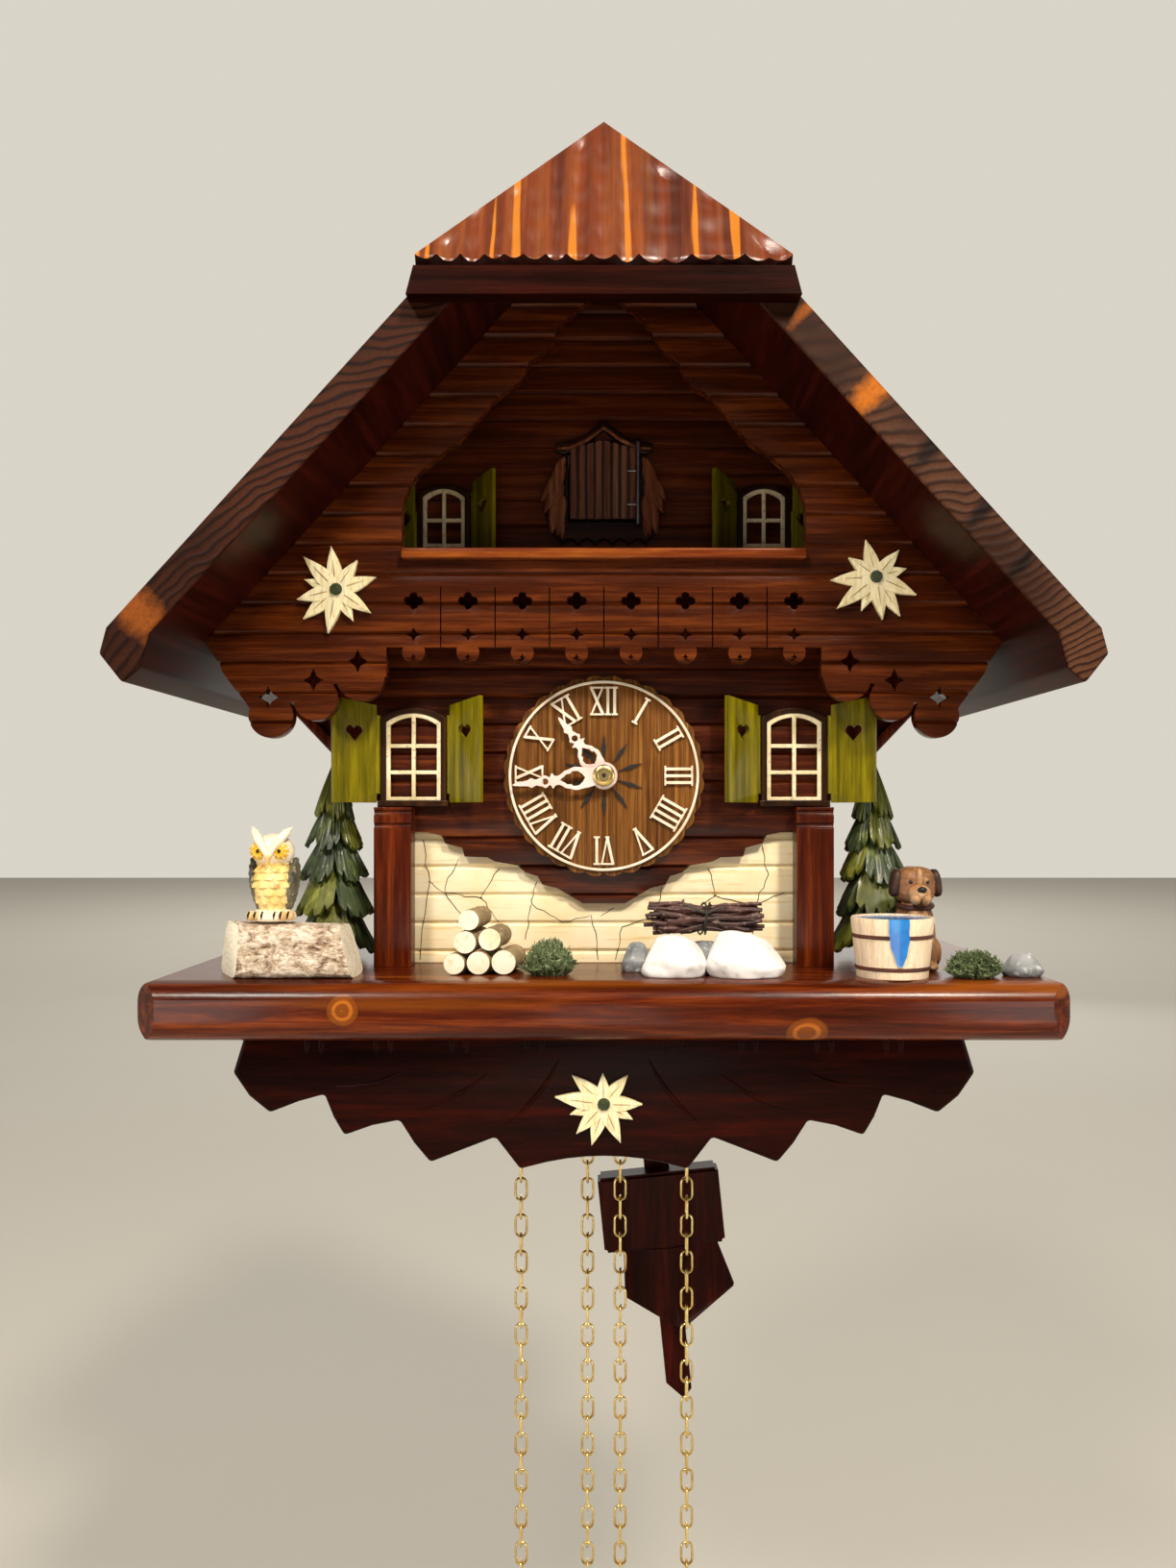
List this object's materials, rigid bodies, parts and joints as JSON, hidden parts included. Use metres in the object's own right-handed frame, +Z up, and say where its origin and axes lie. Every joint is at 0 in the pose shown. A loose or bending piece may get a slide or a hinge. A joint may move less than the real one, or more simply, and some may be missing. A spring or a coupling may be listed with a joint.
{
  "type": "cuckoo clock",
  "caption": "Chalet-shaped wall clock with a balcony, carved flowers and figures on its base, a cuckoo door, a swinging pendulum and pine cone weights on chains.",
  "frame": {"origin": "centre of the hanging hole in the steel plate, in the plane of the wall", "axes": "+X to the viewer's right, -Y out of the wall towards the viewer, +Z up"},
  "size_m": [0.2946, 0.155, 0.617],
  "materials": {
    "stained_wood": "gloss",
    "dark_wood": "gloss",
    "pale_carving": "satin",
    "cream_paint": "satin",
    "olive_paint": "satin",
    "ivory_plastic": "satin",
    "bark_wood": "satin",
    "figure_paint": "satin",
    "moss_green": "matt",
    "stone_paint": "matt",
    "brass": "polished",
    "steel": "satin",
    "cast_iron": "matt",
    "bare_wood": "matt"
  },
  "bodies": {
    "clock_case": {"back_panel": "stained_wood", "hanger_plate": "steel", "case_sides": "stained_wood", "base_board": "stained_wood", "apron": "dark_wood", "lower_facade": "dark_wood", "stone_wall": "cream_paint", "porch_posts": "stained_wood", "gable_front": "stained_wood", "balcony_boards": "stained_wood", "upper_wall": "dark_wood", "roof_left": "stained_wood", "roof_right": "stained_wood", "hip_roof": "stained_wood", "windows": "cream_paint", "shutters": "olive_paint", "door_surround": "pale_carving", "dial_disc": "dark_wood", "dial_numerals": "ivory_plastic", "edelweiss": "ivory_plastic", "half_log": "bark_wood", "owl": "figure_paint", "fir_trees": "moss_green", "log_stack": "bark_wood", "moss": "moss_green", "brushwood": "bark_wood", "stones": "stone_paint", "water_tub": "figure_paint", "dog": "figure_paint", "movement_plates": "brass", "chain_turns": "brass", "cuckoo_pipes": "bare_wood", "gong": "steel"},
    "centre_arbor": {"centre_wheel": "brass", "minute_hand": "ivory_plastic", "hand_nut": "brass"},
    "hour_pipe": {"hour_hand": "ivory_plastic"},
    "minute_wheel_body": {"minute_wheel": "brass"},
    "time_barrel": {"time_great_wheel": "brass"},
    "third_arbor": {"third_wheel": "brass"},
    "escape_arbor": {"escape_wheel": "brass"},
    "anchor_arbor": {"anchor": "steel"},
    "pendulum": {"pendulum_rod": "dark_wood", "pendulum_bob": "dark_wood"},
    "time_drive": {"time_chain": "brass", "time_weight": "cast_iron"},
    "time_pull": {"time_pull_chain": "brass"},
    "time_chain_wheel": {"time_sprocket": "brass"},
    "strike_drive": {"strike_chain": "brass", "strike_weight": "cast_iron"},
    "strike_pull": {"strike_pull_chain": "brass"},
    "strike_chain_wheel": {"strike_sprocket": "brass"},
    "strike_barrel": {"strike_great_wheel": "brass"},
    "pin_arbor": {"pin_wheel": "brass"},
    "fly_arbor": {"fly": "steel"},
    "bird_arm": {"cuckoo_bird": "figure_paint"},
    "door_leaf": {"cuckoo_door": "pale_carving"},
    "left_lid": {"left_bellows_top": "bare_wood"},
    "right_lid": {"right_bellows_top": "bare_wood"},
    "hammer_arm": {"gong_hammer": "steel"}
  },
  "joints": [
    {"name": "minute_hand_turn", "type": "hinge", "parent": "clock_case", "child": "centre_arbor", "pos_m": [0, -0.06, -0.1362], "axis": [0, 1, 0], "continuous": true},
    {"name": "hour_hand_turn", "type": "hinge", "parent": "clock_case", "child": "hour_pipe", "pos_m": [0, -0.09, -0.1362], "axis": [0, 1, 0], "continuous": true},
    {"name": "minute_wheel_turn", "type": "hinge", "parent": "clock_case", "child": "minute_wheel_body", "pos_m": [0, -0.08, -0.1482], "axis": [0, 1, 0], "continuous": true},
    {"name": "time_great_wheel_turn", "type": "hinge", "parent": "clock_case", "child": "time_barrel", "pos_m": [0.0185, -0.06, -0.162], "axis": [0, 1, 0], "continuous": true},
    {"name": "third_wheel_turn", "type": "hinge", "parent": "clock_case", "child": "third_arbor", "pos_m": [0.017, -0.06, -0.1161], "axis": [0, 1, 0], "continuous": true},
    {"name": "escape_wheel_turn", "type": "hinge", "parent": "clock_case", "child": "escape_arbor", "pos_m": [0, -0.06, -0.096], "axis": [0, 1, 0], "continuous": true},
    {"name": "pendulum_swing", "type": "hinge", "parent": "clock_case", "child": "pendulum", "pos_m": [0, -0.035, -0.084], "axis": [0, 1, 0], "range_deg": [-2, 14]},
    {"name": "anchor_rock", "type": "hinge", "parent": "clock_case", "child": "anchor_arbor", "pos_m": [0, -0.045, -0.084], "axis": [0, 1, 0], "range_deg": [-2, 14]},
    {"name": "time_weight_slide", "type": "slide", "parent": "clock_case", "child": "time_drive", "axis": [0, 0, -1], "range_m": [-0.05, 0.05], "deforming": ["chain_turns"]},
    {"name": "time_pull_slide", "type": "slide", "parent": "clock_case", "child": "time_pull", "axis": [0, 0, -1], "range_m": [-0.05, 0.05]},
    {"name": "time_sprocket_turn", "type": "hinge", "parent": "clock_case", "child": "time_chain_wheel", "pos_m": [0.0185, -0.052, -0.162], "axis": [0, 1, 0], "range_deg": [-240, 240]},
    {"name": "strike_weight_slide", "type": "slide", "parent": "clock_case", "child": "strike_drive", "axis": [0, 0, -1], "range_m": [-0.05, 0.05]},
    {"name": "strike_pull_slide", "type": "slide", "parent": "clock_case", "child": "strike_pull", "axis": [0, 0, -1], "range_m": [-0.05, 0.05]},
    {"name": "strike_sprocket_turn", "type": "hinge", "parent": "clock_case", "child": "strike_chain_wheel", "pos_m": [-0.0185, -0.052, -0.162], "axis": [0, 1, 0], "range_deg": [-240, 240]},
    {"name": "strike_great_wheel_turn", "type": "hinge", "parent": "clock_case", "child": "strike_barrel", "pos_m": [-0.0185, -0.065, -0.162], "axis": [0, 1, 0], "continuous": true},
    {"name": "pin_wheel_turn", "type": "hinge", "parent": "clock_case", "child": "pin_arbor", "pos_m": [-0.0265, -0.065, -0.1366], "axis": [0, 1, 0], "continuous": true},
    {"name": "fly_turn", "type": "hinge", "parent": "clock_case", "child": "fly_arbor", "pos_m": [-0.0185, -0.065, -0.1159], "axis": [0, 1, 0], "continuous": true},
    {"name": "bird_swing", "type": "hinge", "parent": "clock_case", "child": "bird_arm", "pos_m": [0.0347, -0.058, -0.06], "axis": [0, 0, 1], "range_deg": [0, 57]},
    {"name": "door_swing", "type": "hinge", "parent": "clock_case", "child": "door_leaf", "pos_m": [0.0122, -0.0704, -0.03], "axis": [0, 0, 1], "range_deg": [0, 100]},
    {"name": "left_bellows_lift", "type": "hinge", "parent": "clock_case", "child": "left_lid", "pos_m": [-0.06, -0.035, -0.0822], "axis": [-1, 0, 0], "range_deg": [0, 15]},
    {"name": "right_bellows_lift", "type": "hinge", "parent": "clock_case", "child": "right_lid", "pos_m": [0.06, -0.035, -0.0822], "axis": [-1, 0, 0], "range_deg": [0, 15]},
    {"name": "hammer_swing", "type": "hinge", "parent": "clock_case", "child": "hammer_arm", "pos_m": [-0.033, -0.012, -0.112], "axis": [0, 1, 0], "range_deg": [0, 6], "stiffness_Nm_per_rad": 0.02}
  ],
  "couplings": [
    {"joint": "hour_hand_turn", "follows": "minute_hand_turn", "ratio": 0.083333},
    {"joint": "minute_wheel_turn", "follows": "minute_hand_turn", "ratio": -0.33333},
    {"joint": "time_great_wheel_turn", "follows": "minute_hand_turn", "ratio": -0.5},
    {"joint": "third_wheel_turn", "follows": "minute_hand_turn", "ratio": -6},
    {"joint": "escape_wheel_turn", "follows": "minute_hand_turn", "ratio": 36},
    {"joint": "anchor_rock", "follows": "pendulum_swing", "ratio": 1},
    {"joint": "time_pull_slide", "follows": "time_weight_slide", "ratio": -1},
    {"joint": "time_sprocket_turn", "follows": "time_weight_slide", "rad_per_m": 80.645},
    {"joint": "strike_pull_slide", "follows": "strike_weight_slide", "ratio": -1},
    {"joint": "strike_sprocket_turn", "follows": "strike_weight_slide", "rad_per_m": -80.645},
    {"joint": "pin_wheel_turn", "follows": "strike_great_wheel_turn", "ratio": -4},
    {"joint": "fly_turn", "follows": "strike_great_wheel_turn", "ratio": 24},
    {"joint": "door_swing", "follows": "bird_swing", "ratio": 1.7544}
  ]
}
